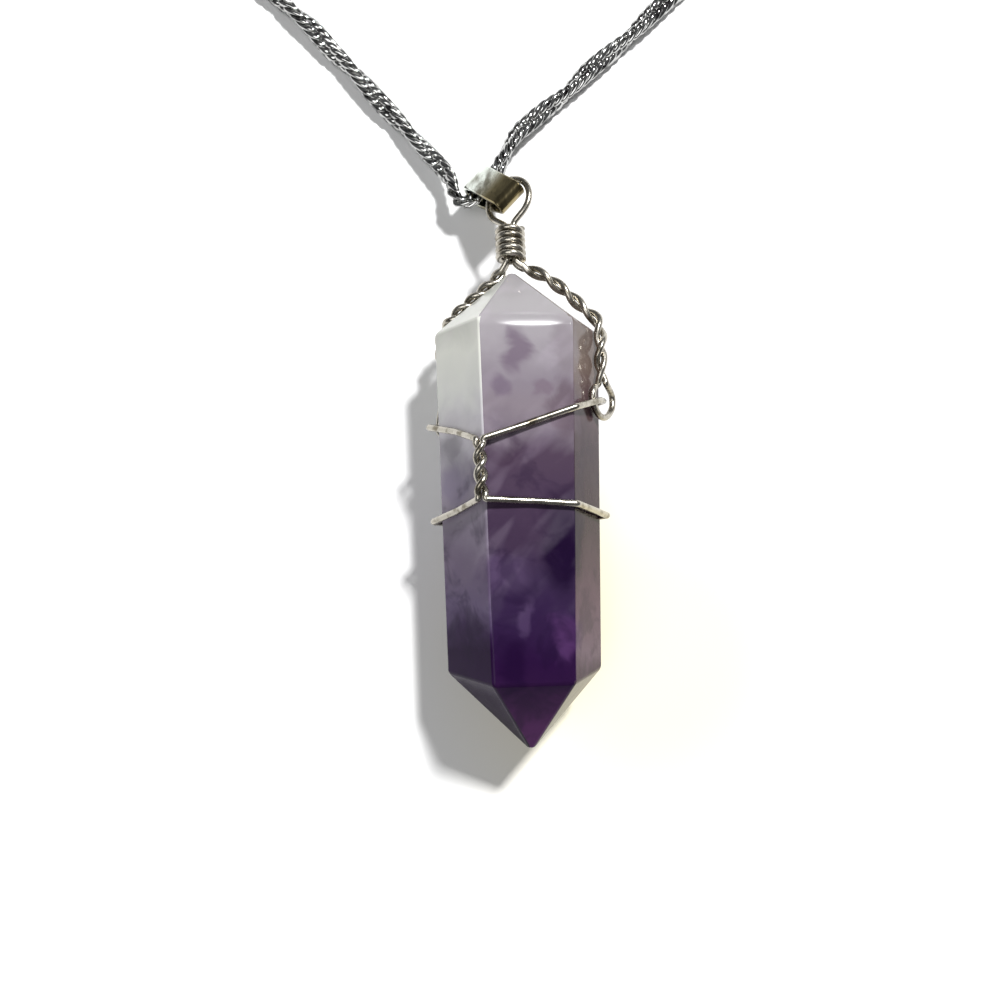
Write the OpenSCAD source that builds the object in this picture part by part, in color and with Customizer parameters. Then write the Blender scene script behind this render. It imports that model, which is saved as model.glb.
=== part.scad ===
// Crystal point pendant on a chain, lying on a flat surface: +X to the right, +Y up the picture, +Z up

/* [Crystal] */
// Length of the six side faces between the two pointed ends
body_l = 30.4; // [24:0.1:40]
// Width over the left and right edges at the upper end
top_w = 15.1; // [14:0.1:18]
// Width over the left and right edges at the lower end
bottom_w = 13.9; // [12:0.1:18]
// Thickness from the back face to the front face
thick = 12.5; // [10:0.1:15]
// Width of the front and back faces at the upper end
face_w = 8.2; // [6:0.1:9]
// Height of the upper pointed end
top_cap_l = 5.9; // [4.5:0.1:9]
// Height of the lower pointed end
bottom_cap_l = 7.2; // [4:0.1:9]
// How far the upper tip lies to the left of the axis, and the lower one to the right
tip_shift = 0.4; // [0:0.1:1]
// Turn of the crystal about its length, left edge raised
roll = 5.8; // [0:0.1:8]
// Lean of the crystal on the surface, upper end to the left
lean = 1.3; // [0:0.1:4]

/* [Wire] */
// Diameter of the wrapping wire
wire_d = 0.6; // [0.5:0.05:0.7]
// Air between pieces that lie on each other
fit_gap = 0.06; // [0.04:0.01:0.1]
// Where the twisted link starts above the middle of the crystal
link_top = 4.4; // [3:0.1:5]
// Length of the twisted link
link_l = 4.3; // [3.5:0.1:5]
// Half turns of the twisted link, an odd number
link_turns = 3; // [3, 5]
// Half turns of the right hanger, an odd number
right_turns = 7; // [5, 7, 9]
// Half turns of the left hanger, an odd number
left_turns = 9; // [7, 9, 11]

/* [Neck and loop] */
// Air between the upper tip and the coil
neck_gap = 0.55; // [0.5:0.05:1]
// Full turns of the coil round the neck
coil_turns = 5; // [3:0.5:6]
// Droop of the neck towards the surface
neck_droop = 14; // [10:1:18]
// Radius of the hanging loop, at the middle of its wire
loop_r = 2.2; // [2.1:0.05:2.3]
// Height of the loop's centre above the foot of the neck
loop_rise = 6.8; // [6.6:0.1:7.2]
// Turn of the loop about the neck, right side raised
loop_tilt = 30; // [25:1:35]

/* [Bail] */
// Width of the bail's strip
bail_w = 3; // [2.6:0.1:3]
// Thickness of the bail's strip
bail_t = 0.42; // [0.3:0.02:0.5]
// Inner radius of the bail's round end, where the chain passes
bail_r = 1.05; // [0.9:0.05:1.2]
// Inner radius of the bail's narrow end
bail_tip_r = 0.42; // [0.3:0.02:0.5]
// Distance between the centres of its two ends
bail_l = 4.4; // [4:0.1:4.5]
// Rise of the bail from the chain towards the loop
bail_rise = 47; // [45:1:50]
// Direction of the bail on the surface
bail_turn = -43; // [-45:1:-40]

/* [Chain and clasp] */
// Widest part of the twisted chain
chain_w = 2; // [1.7:0.05:2.1]
// Outer diameter of the two end rings
end_ring_d = 3.6; // [3.2:0.1:4.5]
// Diameter of the end rings' wire
end_wire_d = 0.5; // [0.4:0.05:0.6]
// Outer diameter of the clasp
clasp_d = 6; // [5.5:0.1:7]
// Thickness of the clasp's body
clasp_wire_d = 1.1; // [0.9:0.05:1.2]

/* [Hidden] */

wire_sides = 10;
chain_sides = 8;
turn_steps = 6;
round_steps = 48;

// Columns of the ridge table: half width at the upper end, height off the middle plane, then how far the
// ridge runs past the shoulders, as shares of the two pointed ends
ACROSS = 0;
DEPTH = 1;
UP = 2;
DOWN = 3;
half_w = top_w / 2;
half_face = face_w / 2;
half_t = thick / 2;
// From the right ridge over the front, the left and the back
RIDGES = [
    [half_w, 0, 0, 0],
    [half_face, half_t, 0.02, 0.1],
    [-half_face, half_t, 0.02, 0.1],
    [-half_w, 0, 0, 0],
    [-half_face, -half_t, 0.03, 0.06],
    [half_face, -half_t, 0.03, 0.06]
];

// Columns of the band tables: ridge counted from the right over the front, height along the crystal,
// and how far the wire stands off beyond its normal seat
RIDGE = 0;
ALONG = 1;
LIFT = 2;
wire_r = wire_d / 2;
seat = wire_r + fit_gap;
strand_r = wire_r + fit_gap / 2;
pair_seat = strand_r + seat;
over_wire = wire_d + fit_gap;
link_bottom = link_top - link_l;
UPPER_BAND = [
    [1.5, 6.1, 0.05],
    [1, 7.5, 0],
    [0.4, 8.6, over_wire],
    [0, 9, 0],
    [-1, 8.6, 0],
    [-2, 7.4, 0.6],
    [-2.5, 7.1, over_wire],
    [-3, 6.7, 0.35],
    [-3.5, 5.85, 0.05]
];
LOWER_BAND = [
    [1.5, link_bottom - 0.6, 0.05],
    [1, link_bottom - 0.9, 0],
    [0, link_bottom - 1.6, 0.2],
    [-1, link_bottom - 1.8, 0],
    [-2, link_bottom - 1.9, 0.6],
    [-3, link_bottom - 1.9, 0.3],
    [-3.5, link_bottom - 1.1, 0.05]
];
link_tail = 0.4;
band_bend = 0.4;

// Columns of the upper hanger tables: share of the way down the ridge from the tip to the shoulder,
// distance out from the ridge, and rise in front of it
SHARE = 0;
OUT = 1;
RISE = 2;
RIGHT_TOP = [
    [0.1, 0.95, 0.1],
    [0.28, 1.35, 0.3],
    [0.43, 1.3, 0.5],
    [0.57, 1.2, 0.6],
    [0.77, 0.85, 0.8],
    [0.93, 0.55, 1.05]
];
LEFT_TOP = [
    [0.13, 0.45, -0.7],
    [0.3, 0.4, -1.2],
    [0.5, 0.35, -1.5],
    [0.7, 0.3, -1.8],
    [0.88, -0.1, -2.95]
];
// Lower hanger tables: ridge, height above the upper band, and distance beyond the pair's seat
RIGHT_SIDE = [
    [0.25, 4.6, 0.12],
    [0.25, 3.1, 0.04],
    [0.22, 1.35, 0.1]
];
LEFT_SIDE = [
    [-2.6, 7.3, 0.1],
    [-2.55, 5.6, 0.08],
    [-2.5, 3.6, 0.1],
    [-2.5, 1.8, over_wire / 2]
];
// The right hanger's eye: ridge, height above the upper band, and distance from the stone
RIGHT_EYE = [
    [0.4, 0.6, seat + 0.02],
    [0.4, -0.5, seat],
    [0.22, -1.5, seat + 0.1],
    [0.06, -1.6, seat + 0.4],
    [0, -0.7, seat + over_wire],
    [0, 0.5, seat + over_wire]
];
eye_r = over_wire + 0.02;
right_band_y = UPPER_BAND[3][ALONG];
left_band_y = UPPER_BAND[6][ALONG];
core_depth = 2.2;

neck_slant = 2;
coil_pitch = wire_d + fit_gap;
coil_r = norm([strand_r, strand_r]) + wire_d + fit_gap;
coil_foot = 0.2 + wire_r;
loop_open = 42;

// Where the chain runs through the bail, and from there to the loop's centre
bail_xy = [-3.75, -55.45];
hook = [2.3, -2.3, 2.8];

clasp_r = (clasp_d - clasp_wire_d) / 2;
chain_end = clasp_r + end_ring_d / 2 + 0.15;
// Route of the chain from its left end to its right one: X, Y, share of the bail's height, share of the width
CHAIN_ROUTE = [
    [-chain_end, 105.3, 0, 1], [-18.5, 102.8, 0, 1], [-31.5, 97, 0, 1], [-43.5, 89, 0, 1],
    [-53.5, 79, 0, 1], [-61, 67, 0, 1], [-65.5, 53.5, 0, 1], [-67.5, 39.5, 0, 1],
    [-66.5, 25.5, 0, 1], [-62.5, 12, 0, 1], [-56, -0.5, 0, 1], [-47, -11.5, 0, 1],
    [-38.5, -20.5, 0, 1], [-31, -28.5, 0, 1], [-25, -34.8, 0, 1], [-21, -38.5, 0, 1],
    [-19, -40.8, 0, 1], [-16.5, -43.3, 0, 1], [-14.2, -46, 0, 1], [-11.6, -48.8, 0.05, 1],
    [-9.2, -51.6, 0.25, 0.76], [-7.45, -53.8, 0.6, 0.6], [-6.75, -55.5, 0.9, 0.5],
    [-6.2, -56.5, 1, 0.5], [-5.5, -56.8, 1, 0.5], [-4.85, -56.55, 1, 0.5],
    [-3.8, -55.45, 1, 0.5], [-2.85, -54.35, 1, 0.5], [-2.3, -53.2, 0.9, 0.55],
    [-1.5, -51.5, 0.6, 0.64], [-0.5, -49.5, 0.25, 0.76], [1.7, -47.4, 0.05, 1],
    [4.1, -45.4, 0, 1], [6.6, -42.9, 0, 1], [10, -40, 0, 1], [14.2, -35.9, 0, 1],
    [20.5, -31, 0, 1], [28, -25, 0, 1], [36, -18.5, 0, 1], [44.5, -11, 0, 1],
    [54.5, -1.5, 0, 1], [62, 10, 0, 1], [66, 23, 0, 1], [67.5, 37.5, 0, 1],
    [66, 51.5, 0, 1], [62, 65, 0, 1], [54.5, 77, 0, 1], [45, 87.5, 0, 1],
    [34, 96, 0, 1], [20.5, 102.3, 0, 1], [chain_end, 105.3, 0, 1]
];
chain_ring_gap = 7;
clasp_at = [0, CHAIN_ROUTE[0][1]];

STONE = [0.6, 0.5, 0.66];
WIRE = [0.72, 0.72, 0.7];
CHAIN = [0.66, 0.66, 0.67];

function unit(v) = v / norm(v);
function mix(a, b, f) = a + (b - a) * f;
function back(list) = [for (i = [len(list) - 1:-1:0]) list[i]];
function about_x(p, a) = [p.x, p.y * cos(a) - p.z * sin(a), p.y * sin(a) + p.z * cos(a)];
function about_y(p, a) = [p.x * cos(a) + p.z * sin(a), p.y, p.z * cos(a) - p.x * sin(a)];
function about_z(p, a) = [p.x * cos(a) - p.y * sin(a), p.x * sin(a) + p.y * cos(a), p.z];
function turned(p, a) = about_z(about_y(about_x(p, a.x), a.y), a.z);

// A point on the smooth curve between b and c
function curve(a, b, c, d, f) =
    ((2 * b) + (c - a) * f + (2 * a - 5 * b + 4 * c - d) * f * f + (3 * b - a - 3 * c + d) * f * f * f) / 2;
function smooth(p, steps) = let(last = len(p) - 1) concat(
    [for (i = [0:last - 1], k = [0:steps - 1])
        curve(p[max(i - 1, 0)], p[i], p[i + 1], p[min(i + 2, last)], k / steps)],
    [p[last]]);

// A corner made round, between the points a and c
function bend(a, b, c, r) = let(
    u = unit(a - b), w = unit(c - b), half = acos(max(-1, min(1, u * w))) / 2,
    cut = min(r / tan(half), 0.45 * norm(a - b), 0.45 * norm(c - b)),
    centre = b + unit(u + w) * cut / cos(half),
    s = b + u * cut - centre, e = b + w * cut - centre, open = 180 - 2 * half)
    open < 20 ? [b] : [for (f = [0, 0.25, 0.5, 0.75, 1])
        centre + s * sin((1 - f) * open) / sin(open) + e * sin(f * open) / sin(open)];
function eased(p, r) = let(last = len(p) - 1) concat(
    [p[0]], [for (i = [1:last - 1]) each bend(p[i - 1], p[i], p[i + 1], r)], [p[last]]);

// Directions along a route, and a side direction carried along it without twisting
function square_to(u, t) = unit(u - (u * t) * t);
function ways(p, closed) = let(n = len(p)) [for (i = [0:n - 1]) closed
    ? unit(p[(i + 1) % n] - p[(i + n - 1) % n])
    : unit(p[min(i + 1, n - 1)] - p[max(i - 1, 0)])];
function carried(t, first) = [for (i = 0, u = square_to(first, t[0]); i < len(t);
    i = i + 1, u = square_to(u, t[min(i, len(t) - 1)])) u];
function lengths(p) = [for (i = 0, s = 0; i < len(p);
    i = i + 1, s = s + norm(p[min(i, len(p) - 1)] - p[i - 1])) s];

// The crystal's own frame: its axis along Y, its front face towards +Z
function narrowing(y) = (top_w - bottom_w) / 2 * (0.5 - y / body_l);
function ridge(k, y) = let(row = RIDGES[(k + 6) % 6])
    [row[ACROSS] - sign(row[ACROSS]) * narrowing(y), y, row[DEPTH]];
function face_out(k, y) = let(a = ridge(k, y), b = ridge(k + 1, y)) unit([b.z - a.z, 0, a.x - b.x]);
function ridge_out(k, y) = unit(face_out(k - 1, y) + face_out(k, y));
function outline(q, y, off) = let(k = floor(q), f = q - k) f > 0
    ? mix(ridge(k, y), ridge(k + 1, y), f) + face_out(k, y) * off
    : ridge(k, y) + ridge_out(k, y) * off / (ridge_out(k, y) * face_out(k, y));
top_tip = [-tip_shift, body_l / 2 + top_cap_l, 0];
bottom_tip = [tip_shift, -body_l / 2 - bottom_cap_l, 0];
function top_corner(k) = ridge(k, body_l / 2 + RIDGES[k][UP] * top_cap_l);
function bottom_corner(k) = ridge(k, -body_l / 2 - RIDGES[k][DOWN] * bottom_cap_l);

// The crystal lies level lengthwise, on the bands that pass under its right back ridge
stone_turn = [0, roll, lean];
stone_z = wire_d + fit_gap - turned(ridge(5, 0), stone_turn).z + fit_gap;
neck_turn = [-neck_droop, 0, neck_slant];
neck_foot = turned(top_tip, stone_turn) + [0, neck_gap, 0];
loop_centre = neck_foot + turned([0, loop_rise, 0], neck_turn);
bail_rel = loop_centre - hook;
stone_at = [bail_xy.x - bail_rel.x, bail_xy.y - bail_rel.y, stone_z];
bail_at = stone_at + bail_rel;
function from_stone(p) = stone_at + turned(p, stone_turn);
function from_neck(p) = stone_at + neck_foot + turned(p, neck_turn);

// One strand of the twisted link on the front left ridge, f from 0 at its top to 1 at its foot
function link_strand(start, f) = let(
    y = link_top - link_l * f, n = ridge_out(2, y), across = [n.z, 0, -n.x], a = start + 180 * link_turns * f)
    ridge(2, y) + n * pair_seat + (across * cos(a) + n * sin(a)) * strand_r;
link_steps = link_turns * turn_steps;
function link_wire(start) = [for (i = [1:link_steps - 1]) link_strand(start, i / link_steps)];
function band(rows) = [for (row = rows) outline(row[RIDGE], row[ALONG], seat + row[LIFT])];
function ring_round(from, rows, to, tail) = eased(concat(
    [from, from + tail], band(rows), [to + tail, to]), band_bend);
band_path = concat(
    ring_round(link_strand(0, 0), UPPER_BAND, link_strand(180, 0), [0, link_tail, 0]),
    link_wire(180),
    ring_round(link_strand(180, 1), LOWER_BAND, link_strand(0, 1), [0, -link_tail, 0]),
    back(link_wire(0)));

// A pair of strands twisted round a middle line: first strand down, round the eye, second strand up
function strand(line, side, twist, lead, sign) = let(
    t = ways(line, false), u = carried(t, side), s = lengths(line), full = s[len(s) - 1] - lead)
    [for (i = [0:len(line) - 1]) let(a = twist * max(0, s[i] - lead) / full)
        line[i] + (u[i] * cos(a) + cross(t[i], u[i]) * sin(a)) * strand_r * sign];
function last_side(line, side) = let(t = ways(line, false), u = carried(t, side), n = len(line) - 1)
    [u[n], cross(t[n], u[n])];
function hanger(line, turns, out, eye) = let(
    side = turned([0, 0, 1], neck_turn), ends = last_side(line, side),
    twist = 180 * turns + atan2(out * ends[1], out * ends[0]), lead = core_depth + 0.6,
    down = strand(line, side, twist, lead, 1), up = strand(line, side, twist, lead, -1), n = len(line) - 1,
    turn = smooth(concat([down[n - 2], down[n]], eye, [up[n], up[n - 2]]), 4))
    concat([for (i = [0:n - 1]) down[i]],
        [for (i = [4:len(turn) - 5]) turn[i]], back([for (i = [0:n - 1]) up[i]]));
function down_ridge(k, rows) = let(
    foot = top_corner(k), way = unit(foot - top_tip), out = (k == 0 ? 1 : -1) * [-way.y, way.x, 0])
    [for (row = rows) from_stone(mix(top_tip, foot, row[SHARE]) + out * row[OUT] + [0, 0, row[RISE]])];
function down_side(rows, band_y) = [for (row = rows)
    from_stone(outline(row[RIDGE], band_y + row[ALONG], pair_seat + row[LIFT]))];
function core(side) = [for (p = [[0, core_depth], [0, core_depth / 2], [0.1, 0.25]])
    from_neck([side * (strand_r + p.x), p.y, 0])];
right_line = smooth(concat(core(1), down_ridge(0, RIGHT_TOP), down_side(RIGHT_SIDE, right_band_y)), 5);
left_line = smooth(concat(core(-1), down_ridge(3, LEFT_TOP), down_side(LEFT_SIDE, left_band_y)), 5);
right_out = turned([1, 0, 0], stone_turn);
left_out = turned(face_out(3, left_band_y), stone_turn);
right_eye = [for (row = RIGHT_EYE) from_stone(outline(row[RIDGE], right_band_y + row[ALONG], row[2]))];
left_eye = [for (a = [50:40:310]) from_stone(
    outline(-2.5, left_band_y + eye_r * cos(a), seat + over_wire - eye_r * sin(a)))];

// The hanging loop in the neck's frame, its legs inside the coil
leg_top = coil_foot + coil_turns * coil_pitch + 0.45;
function on_loop(a) = [loop_r * sin(a), loop_rise - loop_r * cos(a), 0];
loop_path = eased(concat(
    [[-strand_r, core_depth + 0.2, 0], [-strand_r - 0.05, leg_top, 0]],
    [for (a = [-loop_open:-12:loop_open - 360]) on_loop(a)],
    [[strand_r + 0.05, leg_top, 0], [strand_r, core_depth + 0.2, 0]]), 0.8);
coil_path = [for (i = [0:coil_turns * 14]) let(a = 360 * i / 14)
    [coil_r * cos(a), coil_foot + coil_pitch * a / 360, coil_r * sin(a)]];

// The chain's route with a ring every few millimetres
chain_z = chain_w / 2;
chain_points = [for (p = CHAIN_ROUTE) [p[0], p[1], chain_z + (bail_at.z - chain_z) * p[2], p[3]]];
chain_rings = let(p = chain_points, last = len(p) - 1) concat(
    [for (i = [0:last - 1]) let(steps = ceil(norm(p[i + 1] - p[i]) / chain_ring_gap - 0.1))
        for (k = [0:steps - 1])
            curve(p[max(i - 1, 0)], p[i], p[i + 1], p[min(i + 2, last)], k / steps)],
    [p[last]]);
chain_path = [for (p = chain_rings) [p[0], p[1], p[2]]];
chain_share = [for (p = chain_rings) p[3]];

// A round wire swept along points; a closed one shares out the small turn left where it meets its start
module wire(points, r, sides = wire_sides, closed = false, share = []) {
    n = len(points);
    t = ways(points, closed);
    u = carried(t, [0.1, 0.2, 1]);
    home = square_to(u[n - 1], t[0]);
    left = closed ? atan2(cross(t[0], u[0]) * home, u[0] * home) : 0;
    rings = [for (i = [0:n - 1], k = [0:sides - 1]) let(a = 360 * k / sides - left * i / n)
        points[i] + (u[i] * cos(a) + cross(t[i], u[i]) * sin(a)) * r * (len(share) > 0 ? share[i] : 1)];
    walls = [for (i = [0:n - (closed ? 1 : 2)], k = [0:sides - 1]) let(
        a = i * sides, b = (i + 1) % n * sides, m = (k + 1) % sides)
        each [[a + k, b + k, b + m], [a + k, b + m, a + m]]];
    caps = closed ? [] : [[for (k = [0:sides - 1]) k],
        [for (k = [sides - 1:-1:0]) (n - 1) * sides + k]];
    polyhedron(rings, concat(walls, caps), convexity = 6);
}

module crystal_point() {
    corners = concat([for (k = [0:5]) from_stone(top_corner(k))],
        [for (k = [0:5]) from_stone(bottom_corner(k))], [from_stone(top_tip), from_stone(bottom_tip)]);
    sides = [for (k = [0:5]) let(m = (k + 1) % 6) [k + 6, m + 6, m, k]];
    top = [for (k = [0:5]) [k, (k + 1) % 6, 12]];
    bottom = [for (k = [0:5]) [(k + 1) % 6 + 6, k + 6, 13]];
    color(STONE) polyhedron(corners, concat(sides, top, bottom), convexity = 2);
}

module band_wire() {
    color(WIRE) wire([for (p = band_path) from_stone(p)], wire_r, closed = true);
}

module hanger_right() {
    color(WIRE) wire(hanger(right_line, right_turns, right_out, right_eye), wire_r);
}

module hanger_left() {
    color(WIRE) wire(hanger(left_line, left_turns, left_out, left_eye), wire_r);
}

module neck_coil() {
    color(WIRE) wire([for (p = coil_path) from_neck(p)], wire_r);
}

module hanging_loop() {
    color(WIRE) wire([for (p = loop_path) from_neck(about_y(p, -loop_tilt))], wire_r);
}

// The outline round two discs of different size
module oval(r, tip_r, length) {
    hull() {
        circle(r = r, $fn = round_steps);
        translate([length, 0]) circle(r = tip_r, $fn = round_steps);
    }
}

module bail() {
    color(WIRE) translate(bail_at) rotate([0, -bail_rise, bail_turn]) rotate([90, 0, 0])
        linear_extrude(bail_w, center = true) difference() {
            oval(bail_r + bail_t, bail_tip_r + bail_t, bail_l);
            oval(bail_r, bail_tip_r, bail_l);
        }
}

module chain() {
    color(CHAIN) wire(chain_path, chain_w / 2, chain_sides, share = chain_share);
}

module ring(r, d) {
    rotate_extrude($fn = round_steps) translate([r, 0]) circle(d = d, $fn = round_steps / 2);
}

module end_ring(side) {
    color(CHAIN) translate([clasp_at.x + side * clasp_r, clasp_at.y, end_ring_d / 2])
        rotate([90, 0, 0]) ring((end_ring_d - end_wire_d) / 2, end_wire_d);
}

module end_ring_left() {
    end_ring(-1);
}

module end_ring_right() {
    end_ring(1);
}

module clasp() {
    color(CHAIN) translate([clasp_at.x, clasp_at.y, end_wire_d + fit_gap + clasp_wire_d / 2])
        ring(clasp_r, clasp_wire_d);
}

crystal_point();
band_wire();
hanger_right();
hanger_left();
neck_coil();
hanging_loop();
bail();
chain();
end_ring_left();
end_ring_right();
clasp();
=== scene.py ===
"""The looks of a crystal point pendant lying on its chain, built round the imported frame."""

import logging
from collections.abc import Sequence
from dataclasses import dataclass, field
from enum import Enum
from functools import reduce
from itertools import accumulate
from math import acos, atan2, copysign, cos, degrees, hypot, pi, radians, sin, tan, tau

import bmesh
import bpy
from mathutils import Euler, Matrix, Vector


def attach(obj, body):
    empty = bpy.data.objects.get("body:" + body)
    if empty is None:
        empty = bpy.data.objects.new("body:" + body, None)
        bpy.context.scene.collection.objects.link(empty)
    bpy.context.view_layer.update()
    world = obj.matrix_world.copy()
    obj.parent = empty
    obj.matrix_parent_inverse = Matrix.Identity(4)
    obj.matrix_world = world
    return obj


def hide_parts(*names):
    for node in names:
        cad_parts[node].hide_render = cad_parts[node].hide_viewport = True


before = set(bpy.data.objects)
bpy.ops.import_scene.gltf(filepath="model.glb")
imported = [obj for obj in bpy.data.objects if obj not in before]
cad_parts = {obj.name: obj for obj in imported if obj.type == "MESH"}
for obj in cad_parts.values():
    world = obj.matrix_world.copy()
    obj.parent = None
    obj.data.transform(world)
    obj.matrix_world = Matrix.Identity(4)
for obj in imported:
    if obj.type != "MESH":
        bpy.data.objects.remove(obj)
log = logging.getLogger("pendant")

Route = list[Vector]
Tree, Node, Socket = bpy.types.NodeTree, bpy.types.Node, bpy.types.NodeSocket
Object, Material = bpy.types.Object, bpy.types.Material
Fed = Socket | float
Triple = tuple[float, float, float]
Colour = tuple[float, float, float, float]
Tone = tuple[int, int, int]
Rows = tuple[tuple[float, ...], ...]


class Side(Enum):
    """The two sides of the neck, as the picture shows them."""

    RIGHT = 1
    LEFT = -1


# Routes and their directions

STRAIGHT = radians(4)  # a corner that turns less stays as it is
CUT = 0.45  # the most of a side that a round corner takes
SAME, MERGED = 1e-6, 1e-7  # how near two points are the same corner, and how near they become one


def turning(x: float, y: float, z: float) -> Matrix:
    """The turn about X, then Y, then Z, in degrees."""
    return Euler([radians(angle) for angle in (x, y, z)]).to_matrix()


def smooth(points: Route, steps: int) -> Route:
    """A smooth curve through points.

    Args:
        points: What the curve passes through.
        steps: Points made from each one to the next.

    Returns:
        The curve's own points, both ends included.
    """
    last = len(points) - 1
    made = []
    for i in range(last):
        a, b, c, d = (points[min(max(i + k, 0), last)] for k in (-1, 0, 1, 2))
        for k in range(steps):
            f = k / steps
            made.append((2 * b + (c - a) * f + (2 * a - 5 * b + 4 * c - d) * f**2
                         + (3 * b - a - 3 * c + d) * f**3) / 2)
    return [*made, points[last]]


def eased(points: Route, radius: float, steps: int = 8) -> Route:
    """A route with its corners made round.

    Args:
        points: The route.
        radius: How round its corners get, where there is room.
        steps: Pieces of each arc.

    Returns:
        The eased route.
    """
    made = [points[0]]
    for a, b, c in zip(points, points[1:], points[2:]):
        u, w = (a - b).normalized(), (c - b).normalized()
        half = acos(max(-1.0, min(1.0, u @ w))) / 2
        turn = pi - 2 * half
        if turn < STRAIGHT:
            made.append(b)
            continue
        cut = min(radius / tan(half), CUT * (a - b).length, CUT * (c - b).length)
        centre = b + (u + w).normalized() * cut / cos(half)
        start, end = b + u * cut - centre, b + w * cut - centre
        for f in (k / steps for k in range(steps + 1)):
            made.append(centre + (start * sin((1 - f) * turn) + end * sin(f * turn)) / sin(turn))
    return [*made, points[-1]]


def ways(points: Route) -> Route:
    """The direction of an open route at each of its points."""
    last = len(points) - 1
    return [(points[min(i + 1, last)] - points[max(i - 1, 0)]).normalized() for i in range(last + 1)]


def carried(directions: Route, first: Vector) -> Route:
    """A side direction for each direction of a route, carried from the first one without twisting."""
    turned = accumulate(directions, lambda side, way: (side - (side @ way) * way).normalized(), initial=first)
    return list(turned)[1:]


def lengths(points: Route) -> list[float]:
    """How far along a route each of its points lies."""
    return [0.0, *accumulate((b - a).length for a, b in zip(points, points[1:]))]


# Node trees and meshes


def feed(tree: Tree, node: Node, values: dict) -> Node:
    """Gives a node's inputs what they hold.

    Args:
        tree: The node's tree.
        node: The node.
        values: Each input's plain value, or the socket that feeds it.

    Returns:
        The node.
    """
    for name, value in values.items():
        if isinstance(value, Socket):
            tree.links.new(value, node.inputs[name])
        else:
            node.inputs[name].default_value = value
    return node


def put(tree: Tree, kind: str, values: dict | None = None, **settings) -> Node:
    """Adds a node to a tree.

    Args:
        tree: The tree.
        kind: The node's type.
        values: What its inputs hold, as for feed.
        settings: The node's own options.

    Returns:
        The node.
    """
    node = tree.nodes.new(kind)
    for name, value in settings.items():
        setattr(node, name, value)
    return feed(tree, node, values or {})


def math_of(tree: Tree, operation: str, a: Fed, b: Fed, c: float = 0.0) -> Socket:
    """A product or other sum of two or three values."""
    return put(tree, "ShaderNodeMath", {0: a, 1: b, 2: c}, operation=operation).outputs[0]


def share_of(tree: Tree, value: Fed, low: float, high: float) -> Socket:
    """How far a value has come from low to high, eased, from 0 to 1."""
    return put(tree, "ShaderNodeMapRange", {"Value": value, "From Min": low, "From Max": high},
               interpolation_type="SMOOTHSTEP").outputs[0]


def blended(tree: Tree, share: Fed, a: Socket | Colour, b: Socket | Colour, mode: str = "MIX") -> Socket:
    """The second of two colours laid over the first by a share."""
    return put(tree, "ShaderNodeMix", {0: share, 6: a, 7: b}, data_type="RGBA", blend_type=mode).outputs[2]


def srgb(red: int, green: int, blue: int) -> Colour:
    """A colour given as on a screen, as the linear one that a shader takes."""
    parts = [c / 255 for c in (red, green, blue)]
    return (*[c / 12.92 if c <= 0.04045 else ((c + 0.055) / 1.055) ** 2.4 for c in parts], 1.0)


def tinted(tree: Tree, below: Socket, tint: Sequence, amount: float, *masks: Socket,
           mode: str = "MIX") -> Socket:
    """A colour under some amount of a tint, where all of its masks are."""
    share = reduce(lambda a, b: math_of(tree, "MULTIPLY", a, b), masks, amount)
    return blended(tree, share, below, srgb(*tint), mode)


def sockets(tree: Tree, way: str, named: dict[str, str]) -> None:
    """Gives a node group its inputs or outputs, by name and type."""
    for name, kind in named.items():
        tree.interface.new_socket(name, in_out=way, socket_type="NodeSocket" + kind)


def shown(name: str, data: bpy.types.ID) -> Object:
    """A new object in the scene, which shows a mesh, a lamp or a camera."""
    bpy.context.scene.collection.objects.link(made := bpy.data.objects.new(name, data))
    return made


def object_of(name: str, points: Route, edges: Sequence = (), faces: Sequence = ()) -> Object:
    """A new object with a mesh, its place in the mesh.

    Args:
        name: The object's name.
        points: Its vertices.
        edges: Its loose edges.
        faces: Its faces.

    Returns:
        The object.
    """
    mesh = bpy.data.meshes.new(name)
    mesh.from_pydata([tuple(p) for p in points], edges, faces)
    return shown(name, mesh)


def face_outwards(made: Object) -> None:
    """Turns all the faces of a closed mesh outwards and makes it smooth.

    Args:
        made: The object with the mesh.
    """
    shape = bmesh.new()
    shape.from_mesh(made.data)
    bmesh.ops.remove_doubles(shape, verts=shape.verts, dist=MERGED)
    bmesh.ops.recalc_face_normals(shape, faces=shape.faces)
    for face in shape.faces:
        face.smooth = True
    shape.to_mesh(made.data)
    shape.free()


def grow(made: Object, tree: Tree, inputs: dict) -> None:
    """Grows a piece by a node tree and leaves it as a plain mesh.

    Args:
        made: The object with the tree's route or points.
        tree: The tree.
        inputs: The values of its named inputs.
    """
    modifier = made.modifiers.new("grow", "NODES")
    modifier.node_group = tree
    for item in tree.interface.items_tree:
        if item.in_out == "INPUT" and item.name in inputs:
            modifier[item.identifier] = inputs[item.name]
    ready = made.evaluated_get(bpy.context.evaluated_depsgraph_get())
    plain = bpy.data.meshes.new_from_object(ready)
    made.modifiers.remove(modifier)
    made.data = plain
    face_outwards(made)


def finished(made: Object, nodes: tuple[str, ...]) -> Object:
    """Hands a finished piece to the frame and reports it.

    Args:
        made: The piece.
        nodes: The CAD nodes that it stands for.

    Returns:
        The piece.
    """
    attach(made, "root")
    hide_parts(*nodes)
    log.info("%s: %d faces", made.name, len(made.data.polygons))
    return made


def ring_faces(rings: int, sides: int) -> list[tuple[int, ...]]:
    """The faces between the rings of a closed tube, and between its last ring and its first."""
    return [(i * sides + k, (i + 1) % rings * sides + k, (i + 1) % rings * sides + (k + 1) % sides,
             i * sides + (k + 1) % sides) for i in range(rings) for k in range(sides)]


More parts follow.
